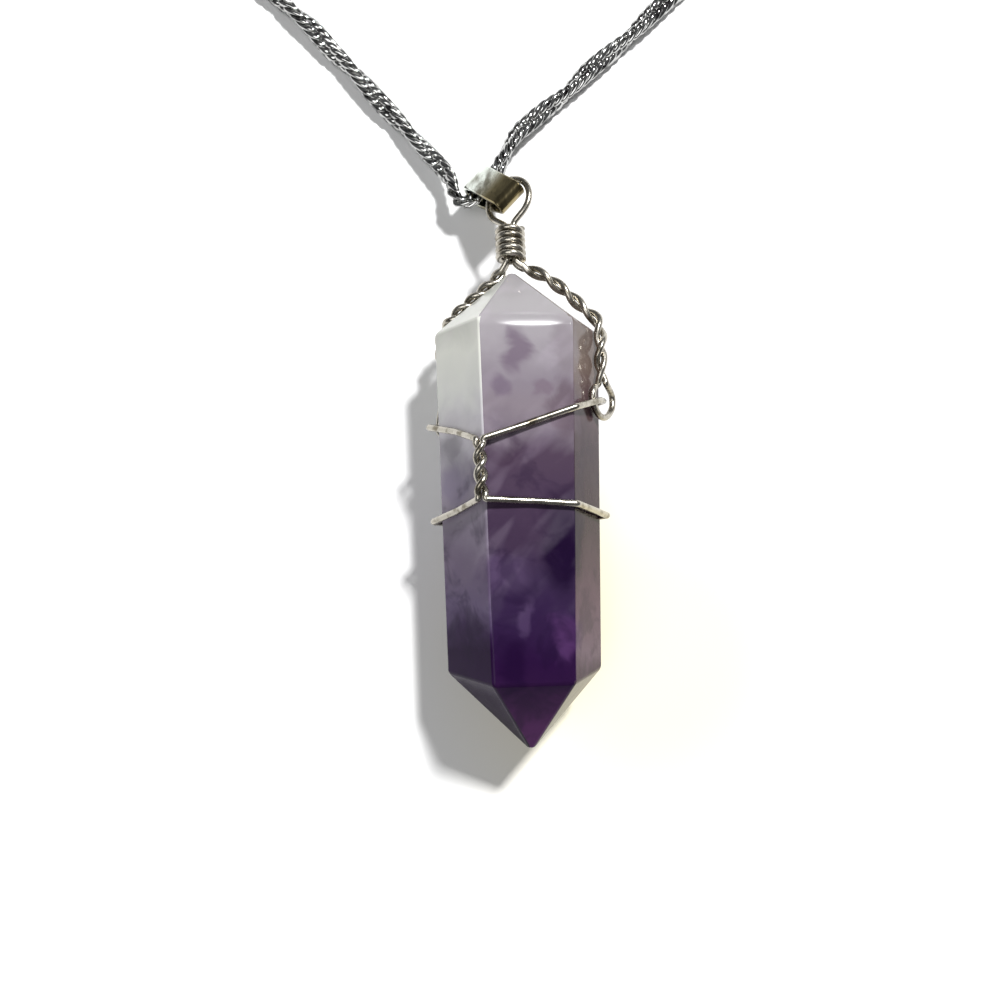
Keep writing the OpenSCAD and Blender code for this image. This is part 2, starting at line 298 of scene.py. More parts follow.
def grower(name: str, inputs: dict[str, str]) -> tuple[Tree, bpy.types.NodeInputs]:
    """A new geometry tree.

    Args:
        name: Its name.
        inputs: Its inputs' names and types; the finish is added to them.

    Returns:
        The tree, and its inputs' sockets.
    """
    tree = bpy.data.node_groups.new(name, "GeometryNodeTree")
    sockets(tree, "INPUT", {**inputs, "Finish": "Material"})
    sockets(tree, "OUTPUT", {"Shape": "Geometry"})
    return tree, put(tree, "NodeGroupInput").outputs


def dress(tree: Tree, shape: Socket, finish: Socket) -> Tree:
    """Ends a geometry tree with real geometry that has its finish.

    Args:
        tree: The tree.
        shape: What it has made.
        finish: The finish.

    Returns:
        The tree.
    """
    whole = put(tree, "GeometryNodeRealizeInstances", {"Geometry": shape}).outputs[0]
    dressed = put(tree, "GeometryNodeSetMaterial", {"Geometry": whole, "Material": finish}).outputs[0]
    put(tree, "NodeGroupOutput", {"Shape": dressed})
    return tree


def tube_tree() -> Tree:
    """The tree that turns a route into a round wire.

    Returns:
        The tree.
    """
    tree, given = grower("round_wire", {"Route": "Geometry", "Radius": "Float", "Sides": "Int"})
    line = put(tree, "GeometryNodeMeshToCurve", {"Mesh": given["Route"]})
    ring = put(tree, "GeometryNodeCurvePrimitiveCircle",
               {"Resolution": given["Sides"], "Radius": given["Radius"]}, mode="RADIUS")
    tube = put(tree, "GeometryNodeCurveToMesh", {
        "Curve": line.outputs[0], "Profile Curve": ring.outputs[0], "Fill Caps": True})
    return dress(tree, tube.outputs[0], given["Finish"])


def link_tree() -> Tree:
    """The tree that sets one link at each point of a chain.

    Returns:
        The tree.
    """
    tree, given = grower("chain_links", {"Places": "Geometry", "Link": "Object"})
    link = put(tree, "GeometryNodeObjectInfo", {"Object": given["Link"]})
    turn = put(tree, "GeometryNodeInputNamedAttribute", {"Name": "turn"}, data_type="FLOAT_VECTOR")
    size = put(tree, "GeometryNodeInputNamedAttribute", {"Name": "size"}, data_type="FLOAT")
    way = put(tree, "FunctionNodeEulerToRotation", {"Euler": turn.outputs["Attribute"]})
    chain = put(tree, "GeometryNodeInstanceOnPoints", {
        "Points": given["Places"], "Instance": link.outputs["Geometry"],
        "Rotation": way.outputs[0], "Scale": size.outputs["Attribute"]})
    return dress(tree, chain.outputs[0], given["Finish"])


# Finishes


def blank(name: str) -> tuple[Material, Tree, Node]:
    """A new material.

    Args:
        name: Its name.

    Returns:
        The material, its tree and its shader.
    """
    made = bpy.data.materials.new(name)
    made.use_nodes = True
    return made, made.node_tree, made.node_tree.nodes["Principled BSDF"]


def wear_group() -> Tree:
    """The group that gives metal its cloudy tone and fine scratches.

    Returns:
        The group.
    """
    tree = bpy.data.node_groups.new("metal_wear", "ShaderNodeTree")
    sockets(tree, "INPUT", {"Vector": "Vector", "Metal": "Color", "Stain": "Color", "Stain Share": "Float",
                            "Cloud Scale": "Float", "Scratch Scale": "Float", "Roughness": "Float"})
    sockets(tree, "OUTPUT", {"Color": "Color", "Roughness": "Float", "Height": "Float"})
    given = put(tree, "NodeGroupInput").outputs
    cloud = put(tree, "ShaderNodeTexNoise", {
        "Vector": given["Vector"], "Scale": given["Cloud Scale"], "Detail": 3.0, "Roughness": 0.6})
    fine = put(tree, "ShaderNodeTexNoise", {
        "Vector": given["Vector"], "Scale": given["Scratch Scale"], "Detail": 2.0, "Distortion": 0.4})
    stain = math_of(tree, "MULTIPLY", share_of(tree, cloud.outputs[0], 0.45, 0.68), given["Stain Share"])
    uneven = math_of(tree, "MULTIPLY_ADD", fine.outputs[0], 0.12, -0.06)
    put(tree, "NodeGroupOutput", {
        "Color": blended(tree, stain, given["Metal"], given["Stain"]),
        "Roughness": math_of(tree, "ADD", given["Roughness"], uneven), "Height": fine.outputs[0]})
    return tree


@dataclass(frozen=True)
class MetalFinish:
    """A bright plated metal, a little cloudy and scratched.

    Its far holds another tone, which paints a dark reflection, and a way along which the metal takes it on,
    from one distance to another.
    """

    name: str
    metal: Colour
    stain: Colour
    stain_share: float
    roughness: float
    cloud_scale: float = 900.0
    scratch_scale: float = 5000.0
    scratch_stretch: Triple = (1.0, 1.0, 1.0)
    scratch_turn: Triple = (0.0, 0.0, 0.0)
    scratch_depth: float = 0.000004
    far: tuple[Colour, Triple, float, float] | None = None

    def material(self, wear: Tree) -> Material:
        """Builds the material.

        Args:
            wear: The shared group for worn metal.

        Returns:
            The material.
        """
        made, tree, shader = blank(self.name)
        where = put(tree, "ShaderNodeTexCoord").outputs["Object"]
        metal = self.metal
        # painted reflection: the metal takes on the far tone along one way, where it catches something dark
        if self.far:
            tone, way, start, end = self.far
            along = put(tree, "ShaderNodeVectorMath", {0: where, 1: way}, operation="DOT_PRODUCT")
            metal = blended(tree, share_of(tree, along.outputs["Value"], start, end), metal, tone)
        place = put(tree, "ShaderNodeMapping", {
            "Vector": where, "Rotation": [radians(a) for a in self.scratch_turn],
            "Scale": self.scratch_stretch})
        worn = put(tree, "ShaderNodeGroup", {
            "Vector": place.outputs[0], "Metal": metal, "Stain": self.stain, "Stain Share": self.stain_share,
            "Cloud Scale": self.cloud_scale, "Scratch Scale": self.scratch_scale,
            "Roughness": self.roughness}, node_tree=wear).outputs
        bump = put(tree, "ShaderNodeBump", {
            "Height": worn["Height"], "Distance": self.scratch_depth, "Strength": 0.6})
        feed(tree, shader, {"Metallic": 1.0, "Base Color": worn["Color"], "Roughness": worn["Roughness"],
                            "Normal": bump.outputs[0]})
        return made


@dataclass(frozen=True)
class StoneFinish:
    """Polished quartz, milky at its upper end and deep purple at its lower one.

    Its places are in millimetres, in the stone's own frame. The rows of a side hold a height and its colour;
    the left rows add painted light on faces turned left, and the right rows painted shade on faces turned
    right.
    A spot's row holds its middle, its half width and half height, its colour, and how much of it shows.
    Most rows began as the photo's mean colour in a small box at that height, divided by the render's gain
    there, and some were then changed, which is a fault.
    """

    name: str = "banded_quartz"
    front: Rows = (
        (-20, 74, 34, 80), (-16.2, 38, 17, 50), (-13.7, 35, 14, 49), (-10.2, 42, 26, 57),
        (-6.8, 52, 39, 64), (-3.4, 56, 42, 62), (0, 63, 49, 68), (3.5, 70, 56, 72), (5.5, 104, 95, 105),
        (7.7, 119, 110, 118), (9.9, 120, 112, 121), (13.7, 143, 138, 143), (16.5, 143, 140, 142),
        (21, 138, 135, 137))
    # painted light: lighter rows for the faces turned left
    left: Rows = (
        (-21, 26, 8, 36), (-16, 40, 20, 54), (-13, 32, 10, 46), (-11.5, 52, 34, 68), (-9.4, 92, 79, 107),
        (-5.5, 104, 92, 112), (2, 154, 148, 159), (7, 188, 186, 190), (9.3, 204, 205, 201),
        (13, 214, 215, 207), (16, 186, 187, 180), (21, 180, 181, 175))
    # painted shade: darker rows for the faces turned right
    right: Rows = (
        (-20, 18, 6, 24), (-16, 46, 26, 48), (-13.5, 92, 74, 90), (-9.5, 82, 60, 76), (-3, 51, 35, 46),
        (4, 48, 33, 43), (8, 74, 57, 62), (12, 108, 94, 87), (15, 100, 90, 86), (21, 100, 95, 93))
    spots: Rows = (
        (-0.9, 12.4, 6.2, 1.9, 2.1, 96, 82, 98, 0.75), (-2.3, 9.4, 6.2, 1.2, 1.5, 94, 80, 98, 0.6),
        (1.2, 9.2, 6.2, 0.9, 1.1, 100, 84, 98, 0.5), (3.2, 7.4, 6.2, 1.8, 3.4, 86, 72, 82, 0.7),
        (3, -4.2, 6.2, 2.8, 5.6, 20, 6, 34, 0.92), (3.6, 12.6, 6.2, 1.6, 3.4, 112, 104, 110, 0.6),
        (-2.2, -6.6, 6.2, 2.6, 2.6, 80, 64, 92, 0.7), (-0.6, -10.2, 6.2, 1, 1.8, 78, 60, 92, 0.5),
        (2.9, -12.2, 6.2, 1.7, 2.6, 80, 50, 94, 0.6), (-1.6, -14, 6.2, 1.7, 3.2, 26, 8, 40, 0.8),
        (-2, 3.8, 6.2, 2, 1.4, 54, 38, 56, 0.6), (-6, 1, 3, 2, 3, 112, 98, 132, 0.4))
    spot_depth: float = 5.0
    glint_at: Triple = (0.4, 15.3, 6.2)
    glint_size: Triple = (3.6, 1.0, 1.0)
    veil: Tone = (126, 116, 130)
    deep: Tone = (26, 12, 40)

    def ramp(self, tree: Tree, height: Socket, zones: Rows) -> Socket:
        """The colours of one side, from its foot to its top.

        Args:
            tree: The material's tree.
            height: How high the surface is along the stone.
            zones: The side's rows.

        Returns:
            The colour.
        """
        low, high = zones[0][0], zones[-1][0]
        ramp = put(tree, "ShaderNodeValToRGB", {0: put(tree, "ShaderNodeMapRange", {
            "Value": height, "From Min": low, "From Max": high}).outputs[0]})
        stops = ramp.color_ramp.elements
        stops[1].position = 1.0
        for at, *_ in zones[1:-1]:
            stops.new((at - low) / (high - low))
        for stop, (_, *colour) in zip(stops, zones):
            stop.color = srgb(*colour)
        return ramp.outputs[0]

    def spot(self, tree: Tree, place: Socket, centre: Triple, size: Triple) -> Socket:
        """A soft round mask.

        Args:
            tree: The material's tree.
            place: Where the surface is in the stone.
            centre: The mask's middle.
            size: Its half lengths.

        Returns:
            The mask, 1 in the middle and 0 outside.
        """
        near = put(tree, "ShaderNodeMapping", {
            "Vector": place, "Location": centre, "Scale": size}, vector_type="TEXTURE")
        length = put(tree, "ShaderNodeVectorMath", {0: near.outputs[0]}, operation="LENGTH")
        return share_of(tree, length.outputs["Value"], 1.0, 0.35)

    def material(self, at: Vector, turn: Matrix) -> Material:
        """Builds the material, which reads the attribute side: -1 left, 1 right, 0 elsewhere.

        Args:
            at: The stone's middle.
            turn: How the stone is turned.

        Returns:
            The material.
        """
        made, tree, shader = blank(self.name)
        place = put(tree, "ShaderNodeMapping", {
            "Vector": put(tree, "ShaderNodeTexCoord").outputs["Object"], "Location": tuple(at),
            "Rotation": tuple(turn.to_euler()), "Scale": (0.001, 0.001, 0.001)},
            vector_type="TEXTURE").outputs[0]
        cloud = put(tree, "ShaderNodeTexNoise", {
            "Vector": place, "Scale": 0.3, "Detail": 3.0, "Roughness": 0.55, "Distortion": 0.4})
        centred = put(tree, "ShaderNodeVectorMath", {0: cloud.outputs["Color"], 1: (0.5, 0.5, 0.5)},
                      operation="SUBTRACT").outputs[0]
        warped = put(tree, "ShaderNodeVectorMath", {0: centred, 1: (4.0, 4.0, 4.0), 2: place},
                     operation="MULTIPLY_ADD").outputs[0]
        height = put(tree, "ShaderNodeSeparateXYZ", {0: warped}).outputs[1]
        side = put(tree, "ShaderNodeAttribute", attribute_name="side").outputs["Fac"]
        colour = self.ramp(tree, height, self.front)
        # painted light and shade: faces turned left take the lighter left rows, faces turned right the darker
        # right rows
        for way, rows in ((-1, self.left), (1, self.right)):
            there = share_of(tree, side, 0.4 * way, 0.6 * way)
            colour = blended(tree, there, colour, self.ramp(tree, height, rows))
        for x, y, z, half_x, half_y, *tone, amount in self.spots:
            mask = self.spot(tree, warped, (x, y, z), (half_x, half_y, self.spot_depth))
            colour = tinted(tree, colour, tone, amount, mask)
        slanted = put(tree, "ShaderNodeMapping", {
            "Vector": place, "Rotation": (0.0, 0.0, radians(50)), "Scale": (7.0, 2.0, 4.0)},
            vector_type="TEXTURE")
        veins = put(tree, "ShaderNodeTexNoise", {
            "Vector": slanted.outputs[0], "Scale": 1.0, "Detail": 1.5, "Roughness": 0.45, "Distortion": 0.3})
        # the pale veins stay off the faces turned right, which keeps their painted shade
        colour = tinted(tree, colour, self.veil, 0.17, share_of(tree, veins.outputs[0], 0.48, 0.66),
                        share_of(tree, height, -12.0, -4.0), share_of(tree, side, 0.9, 0.1), mode="SCREEN")
        colour = tinted(tree, colour, self.deep, 0.45, share_of(tree, cloud.outputs[0], 0.52, 0.36),
                        share_of(tree, height, 10.0, -2.0))
        grain = put(tree, "ShaderNodeTexNoise", {"Vector": place, "Scale": 0.35, "Detail": 2.0})
        bump = put(tree, "ShaderNodeBump", {"Height": grain.outputs[0], "Distance": 0.00006, "Strength": 0.5})
        feed(tree, shader, {
            "Base Color": colour, "Normal": bump.outputs[0], "IOR": 1.54, "Specular IOR Level": 0.05,
            "Roughness": math_of(tree, "MULTIPLY_ADD", cloud.outputs[0], 0.1, 0.04),
            "Coat Weight": self.spot(tree, place, self.glint_at, self.glint_size),
            "Coat Roughness": 0.3, "Coat IOR": 2.2, "Subsurface Weight": 0.1,
            "Subsurface Radius": (1.0, 0.7, 1.0), "Subsurface Scale": 0.0012})
        return made


@dataclass(frozen=True)
class PaperFinish:
    """The plain pale surface that the part lies on, with painted warm light round one place."""

    name: str = "pale_surface"
    plain: Colour = (0.86, 0.86, 0.86, 1.0)
    painted_warm_light: Colour = (0.86, 0.81, 0.62, 1.0)
    painted_light_at: Triple = (0.0125, -0.1, 0.0)
    painted_light_far: float = 0.026
    painted_light_near: float = 0.006

    def material(self) -> Material:
        """Builds the material.

        Returns:
            The material.
        """
        made, tree, shader = blank(self.name)
        place = put(tree, "ShaderNodeTexCoord").outputs["Object"]
        # painted light: the surface turns warm near one place, as if a warm lamp fell there
        far = put(tree, "ShaderNodeVectorMath", {0: place, 1: self.painted_light_at}, operation="DISTANCE")
        near = share_of(tree, far.outputs["Value"], self.painted_light_far, self.painted_light_near)
        feed(tree, shader, {"Base Color": blended(tree, near, self.plain, self.painted_warm_light), "Roughness": 0.7,
                            "Specular IOR Level": 0.2})
        return made


# The stone and what is wound round it


@dataclass
class Wire:
    """The wrapping wire and the air it keeps."""

    diameter: float = 0.0006
    gap: float = 0.00006
    sides: int = 16
    trim: float = 0.000005
    tree: Tree | None = None
    finish: Material | None = None

    def __post_init__(self) -> None:
        """Works out how far its middle lies from the stone and from other wires."""
        self.radius = self.diameter / 2
        self.seat = self.radius + self.gap  # from the stone to the wire
        self.strand = self.radius + self.gap / 2  # from the middle of a twisted pair to a strand
        self.pair_seat = self.strand + self.seat  # from the stone to a twisted pair
        self.over = self.diameter + self.gap  # how much a wire rises to pass over another

    def piece(self, name: str, route: Route, closed: bool = False, slot: str = "wire") -> Object:
        """Makes one wire.

        Args:
            name: The CAD node that it stands for.
            route: Its middle line.
            closed: Whether its end meets its start.
            slot: Not used.

        Returns:
            The finished piece.
        """
        count = len(route)
        edges = [(i, (i + 1) % count) for i in range(count if closed else count - 1)]
        made = object_of(name + "_look", route, edges)
        grow(made, self.tree, {"Radius": self.radius - self.trim, "Sides": self.sides, "Finish": self.finish})
        return finished(made, (name,))


@dataclass
class Crystal:
    """The six-sided stone, and the frame in which the wires are laid out."""

    body_l: float = 0.0304
    top_w: float = 0.0151
    bottom_w: float = 0.0139
    thick: float = 0.0125
    face_w: float = 0.0082
    top_cap_l: float = 0.0059
    bottom_cap_l: float = 0.0072
    tip_shift: float = 0.0004
    roll: float = 5.8
    lean: float = 1.3
    edge: float = 0.0008
    front_wear: float = 1.0
    wear: float = 0.3
    sideways: float = 0.3
    at: Vector = field(default_factory=Vector)

    def __post_init__(self) -> None:
        """Works out the stone's turn and its ridges: across, deep, and their shares of the two ends."""
        edge, face, deep = self.top_w / 2, self.face_w / 2, self.thick / 2
        self.ridges = ((edge, 0, 0, 0), (face, deep, 0.02, 0.1), (-face, deep, 0.02, 0.1),
                       (-edge, 0, 0, 0), (-face, -deep, 0.03, 0.06), (face, -deep, 0.03, 0.06))
        self.turn = turning(0, self.roll, self.lean)
        self.top_tip = Vector((-self.tip_shift, self.body_l / 2 + self.top_cap_l, 0))
        self.bottom_tip = Vector((self.tip_shift, -self.body_l / 2 - self.bottom_cap_l, 0))

    def ridge(self, k: int, y: float) -> Vector:
        """The point of ridge k at height y."""
        across, deep, _, _ = self.ridges[k % 6]
        narrowing = (self.top_w - self.bottom_w) / 2 * (0.5 - y / self.body_l)
        return Vector((across - copysign(narrowing, across), y, deep))

    def face_out(self, k: int, y: float) -> Vector:
        """The way out of the face after ridge k."""
        side = self.ridge(k + 1, y) - self.ridge(k, y)
        return Vector((side.z, 0, -side.x)).normalized()

    def ridge_out(self, k: int, y: float) -> Vector:
        """The way out of ridge k."""
        return (self.face_out(k - 1, y) + self.face_out(k, y)).normalized()

    def outline(self, q: float, y: float, off: float) -> Vector:
        """A point off the stone's side.

        Args:
            q: The ridge, counted from the right over the front, or a place between two.
            y: The height along the stone.
            off: The distance from it.

        Returns:
            The point.
        """
        k = int(q // 1)
        if q > k:
            return self.ridge(k, y).lerp(self.ridge(k + 1, y), q - k) + self.face_out(k, y) * off
        out = self.ridge_out(k, y)
        return self.ridge(k, y) + out * off / (out @ self.face_out(k, y))

    def corners(self) -> tuple[Route, Route]:
        """Where each ridge meets the upper and the lower pointed end."""
        rows, half = list(enumerate(self.ridges)), self.body_l / 2
        return ([self.ridge(k, half + row[2] * self.top_cap_l) for k, row in rows],
                [self.ridge(k, -half - row[3] * self.bottom_cap_l) for k, row in rows])

    def placed(self, point: Vector) -> Vector:
        """A point of the stone's frame in the row frame."""
        return self.at + self.turn @ point

    def build(self, finish: StoneFinish) -> Object:
        """Makes the stone, with its edges slightly worn.

        Args:
            finish: The stone's finish.

        Returns:
            The finished piece.
        """
        upper, lower = self.corners()
        corners = [*upper, *lower, self.top_tip, self.bottom_tip]
        faces = []
        for k in range(6):
            m = (k + 1) % 6
            faces += [(k + 6, m + 6, m, k), (k, m, 12), (m + 6, k + 6, 13)]
        made = object_of("crystal_point_look", [self.placed(p) for p in corners], faces=faces)
        face_outwards(made)
        bevel = made.modifiers.new("worn_edges", "BEVEL")
        bevel.width = self.edge
        bevel.segments = 3
        bevel.limit_method = "WEIGHT"
        bevel.harden_normals = True
        weights = made.data.attributes.new("bevel_weight_edge", "FLOAT", "EDGE")
        front = [self.placed(upper[k]) for k in (1, 2)]
        for edge in made.data.edges:
            ends = [made.data.vertices[i].co for i in edge.vertices]
            worn = all(min((end - corner).length for corner in front) < SAME for end in ends)
            weights.data[edge.index].value = self.front_wear if worn else self.wear
        # side marks which way each face points, and carries the stone's painted light and shade
        sides = made.data.attributes.new("side", "FLOAT", "FACE")
        for face in made.data.polygons:
            way = (self.turn.transposed() @ face.normal).x
            sides.data[face.index].value = 0.0 if abs(way) < self.sideways else copysign(1.0, way)
        made.data.materials.append(finish.material(self.at, self.turn))
        return finished(made, ("crystal_point",))


@dataclass
class Band:
    """The wire with the upper and the lower band and the twisted link between them."""

    crystal: Crystal
    wire: Wire
    link_top: float = 0.0044
    link_l: float = 0.0043
    link_turns: int = 3
    tail: float = 0.0004
    corner: float = 0.0004
    steps: int = 14

    def __post_init__(self) -> None:
        """Works out the two bands' rows: ridge, height, and distance beyond the normal seat."""
        foot, over = self.link_top - self.link_l, self.wire.over
        self.upper = ((1.5, 0.0061, 0.00005), (1, 0.0075, 0), (0.4, 0.0086, over), (0, 0.009, 0),
                      (-1, 0.0086, 0), (-2, 0.0074, 0.0006), (-2.5, 0.0071, over), (-3, 0.0067, 0.00035),
                      (-3.5, 0.00585, 0.00005))
        self.lower = ((1.5, foot - 0.0006, 0.00005), (1, foot - 0.0009, 0), (0, foot - 0.0016, 0.0002),
                      (-1, foot - 0.0018, 0), (-2, foot - 0.0019, 0.0006), (-3, foot - 0.0019, 0.0003),
                      (-3.5, foot - 0.0011, 0.00005))

    def strand(self, start: float, share: float) -> Vector:
        """One strand of the twisted link.

        Args:
            start: Its angle at the link's top, in degrees.
            share: How far down the link, from 0 to 1.

        Returns:
            The strand's middle.
        """
        y = self.link_top - self.link_l * share
        out = self.crystal.ridge_out(2, y)
        across = Vector((out.z, 0, -out.x))
        angle = radians(start + 180 * self.link_turns * share)
        return (self.crystal.ridge(2, y) + out * self.wire.pair_seat
                + (across * cos(angle) + out * sin(angle)) * self.wire.strand)

    def twisted(self, start: float) -> Route:
        """All of one strand of the link, its ends left out."""
        count = self.link_turns * self.steps
        return [self.strand(start, i / count) for i in range(1, count)]

    def ring(self, first: Vector, rows: tuple, last: Vector, tail: float) -> Route:
        """One band round the stone.

        Args:
            first: Where it starts.
            rows: What it passes over.
            last: Where it ends.
            tail: How far up it starts and ends, seen along the stone.

        Returns:
            The band's route.
        """
        away = Vector((0, tail, 0))
        over = [self.crystal.outline(q, y, self.wire.seat + lift) for q, y, lift in rows]
        return eased([first, first + away, *over, last + away, last], self.corner)

    def build(self) -> Object:
        """Makes the band wire.

        Returns:
            The finished piece.
        """
        route = [
            *self.ring(self.strand(0, 0), self.upper, self.strand(180, 0), self.tail), *self.twisted(180),
            *self.ring(self.strand(180, 1), self.lower, self.strand(0, 1), -self.tail),
            *reversed(self.twisted(0))]
        return self.wire.piece("band_wire", [self.crystal.placed(p) for p in route], closed=True)


@dataclass
class Neck:
    """The coil above the stone, the hanging loop, and the frame they share."""

    crystal: Crystal
    wire: Wire
    gap: float = 0.00055
    turns: int = 5
    droop: float = 14.0
    slant: float = 2.0
    loop_r: float = 0.0022
    loop_rise: float = 0.0068
    loop_tilt: float = 30.0
    loop_open: int = 42
    loop_step: int = 6
    coil_steps: int = 20
    coil_gap: float = 0.0002
    core_depth: float = 0.0022
    leg_foot: float = 0.0002
    leg_top: float = 0.00045
    leg_splay: float = 0.00005
    leg_corner: float = 0.0008

    def __post_init__(self) -> None:
        """Works out the neck's foot and turn and the coil's sizes."""
        self.turn = turning(-self.droop, 0, self.slant)
        self.foot = self.crystal.turn @ self.crystal.top_tip + Vector((0, self.gap, 0))
        self.loop_centre = self.foot + self.turn @ Vector((0, self.loop_rise, 0))
        self.pitch = self.wire.diameter + self.wire.gap
        self.coil_r = hypot(self.wire.strand, self.wire.strand) + self.pitch
        self.coil_foot = self.coil_gap + self.wire.radius

    def placed(self, point: Vector) -> Vector:
        """A point of the neck's frame in the row frame."""
        return self.crystal.at + self.foot + self.turn @ point

    def core(self, side: Side) -> Route:
        """The middle of a hanger's pair inside the coil."""
        rows = ((0, self.core_depth), (0, self.core_depth / 2), (0.0001, 0.00025))
        return [self.placed(Vector((side.value * (self.wire.strand + out), y, 0))) for out, y in rows]

    def build(self) -> list[Object]:
        """Makes the coil and the loop.

        Returns:
            The two finished pieces.
        """
        coil = []
        for k in range(self.turns * self.coil_steps + 1):
            wound = k / self.coil_steps
            x, z = self.coil_r * cos(tau * wound), self.coil_r * sin(tau * wound)
            coil.append(self.placed(Vector((x, self.coil_foot + self.pitch * wound, z))))
        out, foot = self.wire.strand, self.core_depth + self.leg_foot
        wide, top = out + self.leg_splay, self.coil_foot + self.turns * self.pitch + self.leg_top
        angles = map(radians, range(-self.loop_open, self.loop_open - 361, -self.loop_step))
        arc = [Vector((self.loop_r * sin(a), self.loop_rise - self.loop_r * cos(a), 0)) for a in angles]
        line = eased([Vector((-out, foot, 0)), Vector((-wide, top, 0)), *arc, Vector((wide, top, 0)),
                      Vector((out, foot, 0))], self.leg_corner)
        tilt = turning(0, -self.loop_tilt, 0)
        return [self.wire.piece("neck_coil", coil),
                self.wire.piece("hanging_loop", [self.placed(tilt @ p) for p in line])]


@dataclass
class Hanger:
    """A doubled and twisted wire from the neck to the upper band, with an eye round it.

    A top row holds the share of the way from the stone's tip to its side, the distance out, and the rise.
    A side row holds the ridge, the height over the band, and the lift off the seat.
    """

    side: Side
    neck: Neck
    band: Band
    turns: int
    top_rows: tuple
    side_rows: tuple
    lead: float = 0.0006
    steps: int = 12
    eye_steps: int = 8
    eye_reach: int = 6
    eye_air: float = 0.00002

    def __post_init__(self) -> None:
        """Takes up the stone, the wire and the row of the upper band that it hangs on."""
        self.crystal, self.wire = self.neck.crystal, self.neck.wire
        self.right = self.side is Side.RIGHT
        self.held = self.band.upper[3 if self.right else 6]

    def down_top(self) -> Route:
        """The pair's middle line over the upper pointed end.

        Returns:
            Its points.
        """
        tip, foot = self.crystal.top_tip, self.crystal.corners()[0][0 if self.right else 3]
        way = (foot - tip).normalized()
        out = Vector((-way.y, way.x, 0)) * self.side.value
        return [self.crystal.placed(tip.lerp(foot, share) + out * off + Vector((0, 0, rise)))
                for share, off, rise in self.top_rows]

    def down_side(self, rows: tuple, seat: float) -> Route:
        """The points of some side rows, where a wire's middle has its seat so far from the stone."""
        return [self.crystal.placed(self.crystal.outline(q, self.held[1] + up, seat + lift))
                for q, up, lift in rows]

    def eye(self) -> Route:
        """The eye's own points between the pair's two strands.

        Returns:
            The points.
        """
        wire = self.wire
        if self.right:
            return self.down_side((
                (0.4, 0.0006, self.eye_air), (0.4, -0.0005, 0), (0.22, -0.0015, 0.0001),
                (0.06, -0.0016, 0.0004), (0, -0.0007, wire.over), (0, 0.0005, wire.over)), wire.seat)
        radius = wire.over + self.eye_air
        return self.down_side(tuple((self.held[0], radius * cos(a), wire.over - radius * sin(a))
                                    for a in map(radians, range(50, 311, 40))), wire.seat)

    def build(self) -> Object:
        """Makes the hanger.

        Returns:
            The finished piece.
        """
        down = self.down_side(self.side_rows, self.wire.pair_seat)
        line = smooth([*self.neck.core(self.side), *self.down_top(), *down], self.steps)
        way_out = Vector((1, 0, 0)) if self.right else self.crystal.face_out(3, self.held[1])
        out, directions, far = self.crystal.turn @ way_out, ways(line), lengths(line)
        sides = carried(directions, self.neck.turn @ Vector((0, 0, 1)))
        twist = 180 * self.turns + degrees(atan2(out @ directions[-1].cross(sides[-1]), out @ sides[-1]))
        lead, go, come = self.neck.core_depth + self.lead, [], []
        for point, way, side, at in zip(line, directions, sides, far):
            angle = radians(twist * max(0.0, at - lead) / (far[-1] - lead))
            off = (side * cos(angle) + way.cross(side) * sin(angle)) * self.wire.strand
            go.append(point + off)
            come.append(point - off)
        n, k = self.eye_reach, self.eye_steps
        turn = smooth([go[-n], go[-1], *self.eye(), come[-1], come[-n]], k)
        route = [*go[:-1], *turn[k:-k], *reversed(come[:-1])]
        return self.wire.piece("hanger_right" if self.right else "hanger_left", route)


# The bail, the chain and the clasp


@dataclass
class Bail:
    """The strip of metal bent round the chain and through the loop."""

    width: float = 0.003
    thick: float = 0.00042
    inner_r: float = 0.00105
    tip_r: float = 0.00042
    length: float = 0.0044
    rise: float = 47.0
    way: float = -43.0
    edge: float = 0.0001
    bend_steps: int = 28
    tip_steps: int = 14
    xy: tuple[float, float] = (-0.00375, -0.05545)
    hook: Triple = (0.0023, -0.0023, 0.0028)

    def settle(self, crystal: Crystal, wire: Wire, neck: Neck) -> None:
        """Places the stone under the bail, and the bail on its loop.

        Args:
            crystal: The stone, which gets its place.
            wire: The wrapping wire, which the stone rests on.
            neck: The neck with the loop.
        """
        offset = neck.loop_centre - Vector(self.hook)
        height = wire.diameter + 2 * wire.gap - (crystal.turn @ crystal.ridge(5, 0)).z
        crystal.at = Vector((self.xy[0] - offset.x, self.xy[1] - offset.y, height))
        self.at = crystal.at + offset

    def build(self, finish: Material) -> Object:
        """Makes the bail.

        Args:
            finish: Its metal.

        Returns:
            The finished piece.
        """
        big, small = self.inner_r + self.thick / 2, self.tip_r + self.thick / 2
        lean = acos((big - small) / self.length)
        line = []
        for middle, radius, start, arc, steps in (
                (0.0, big, lean, tau - 2 * lean, self.bend_steps),
                (self.length, small, -lean, 2 * lean, self.tip_steps)):
            for k in range(steps + 1):
                a = start + arc * k / steps
                line.append((middle + radius * cos(a), radius * sin(a), a))
        half_w, half_t, cut = self.width / 2, self.thick / 2, self.edge
        a, b = (half_w, half_t - cut), (half_w - cut, half_t)
        section = [(sx * across, sy * out) for sx, sy, pair in (
            (1, 1, (a, b)), (-1, 1, (b, a)), (-1, -1, (a, b)), (1, -1, (b, a))) for across, out in pair]
        turn = turning(0, -self.rise, self.way)
        points = [self.at + turn @ Vector((u + out * cos(a), across, v + out * sin(a)))
                  for u, v, a in line for across, out in section]
        made = object_of("bail_look", points, faces=ring_faces(len(line), len(section)))
        face_outwards(made)
        bevel = made.modifiers.new("soft_edges", "BEVEL")
        bevel.width = self.edge * 0.4
        bevel.segments = 2
        bevel.angle_limit = radians(35)
        bevel.harden_normals = True
        made.data.materials.append(finish)
        return finished(made, ("bail",))


